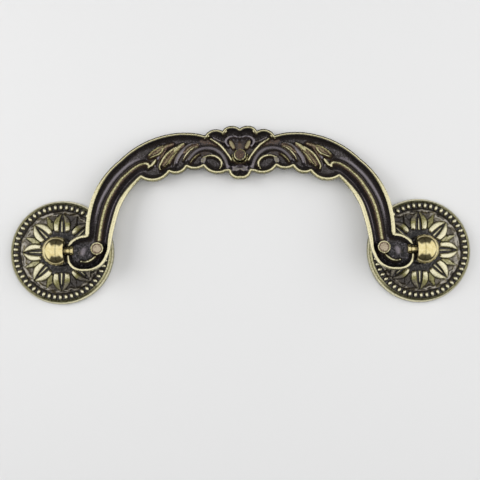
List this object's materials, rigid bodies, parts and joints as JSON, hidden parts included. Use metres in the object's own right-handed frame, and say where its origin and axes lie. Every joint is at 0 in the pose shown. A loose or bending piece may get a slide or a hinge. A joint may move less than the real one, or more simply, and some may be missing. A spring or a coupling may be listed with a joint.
{
  "type": "bail pull",
  "caption": "Drawer pull with a hollow-backed cast bail, scrolled ends and shell crest, swinging on headed pins from ball heads on round beaded rosettes.",
  "frame": {"origin": "middle of the whole pull as it lies on its back, on the plane of the rosettes' flat backs", "axes": "+X along the pull through both ball heads, +Y towards the raised crest, +Z out of the drawer's face"},
  "size_m": [0.165, 0.0638, 0.016],
  "materials": {
    "antique_brass": "blackened in the recesses, rubbed bright on the rims, beads and petals",
    "bright_brass": "polished"
  },
  "bodies": {
    "base": {"left_rosette": "antique_brass", "right_rosette": "antique_brass", "left_post": "bright_brass", "right_post": "bright_brass", "left_pin": "bright_brass", "right_pin": "bright_brass"},
    "bail": {"bail": "antique_brass"}
  },
  "joints": [
    {"name": "bail_swing", "type": "hinge", "parent": "base", "child": "bail", "pos_m": [0, -0.01331, 0.011], "axis": [1, 0, 0], "range_deg": [0, 200]}
  ]
}
